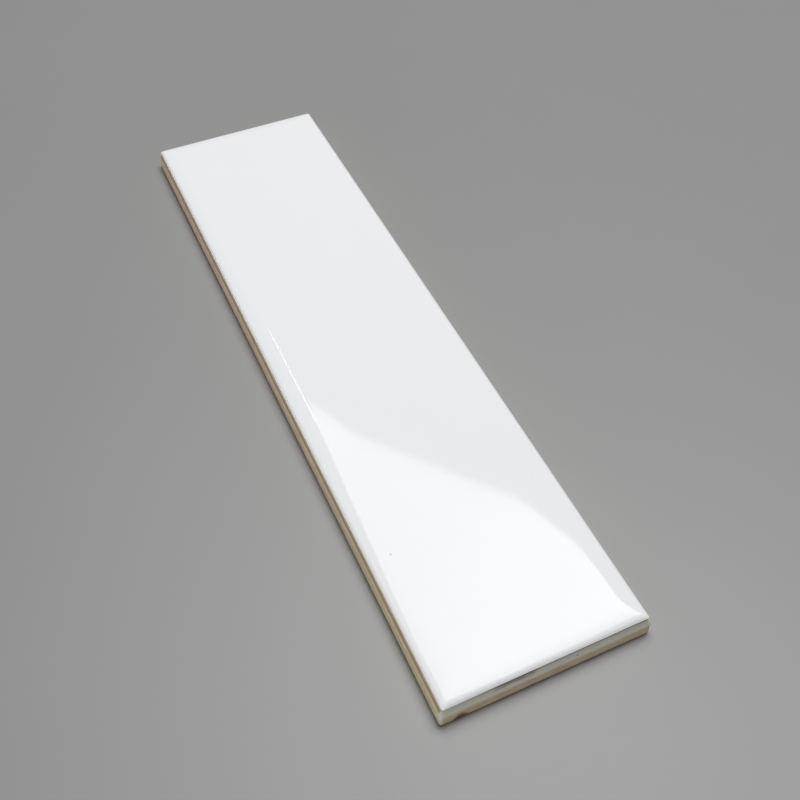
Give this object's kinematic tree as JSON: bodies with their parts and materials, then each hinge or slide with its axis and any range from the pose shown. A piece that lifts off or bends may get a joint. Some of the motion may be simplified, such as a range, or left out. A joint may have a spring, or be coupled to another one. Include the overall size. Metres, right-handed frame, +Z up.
{
  "type": "subway wall tile",
  "caption": "Long flat rectangular wall tile with a glossy white cushioned face, bare pressed sides with a parting ridge, and a keyed back for bedding in adhesive.",
  "frame": {"origin": "middle of the back, on the plane that the tile rests on", "axes": "+X across the width, +Y along the length, +Z up out of the glazed face"},
  "size_m": [0.075, 0.3, 0.01],
  "materials": {
    "glazed_tile": "gloss white glaze over a beige fired body that shows bare on the sides and back"
  },
  "bodies": {
    "root": {"tile": "glazed_tile"}
  },
  "joints": []
}
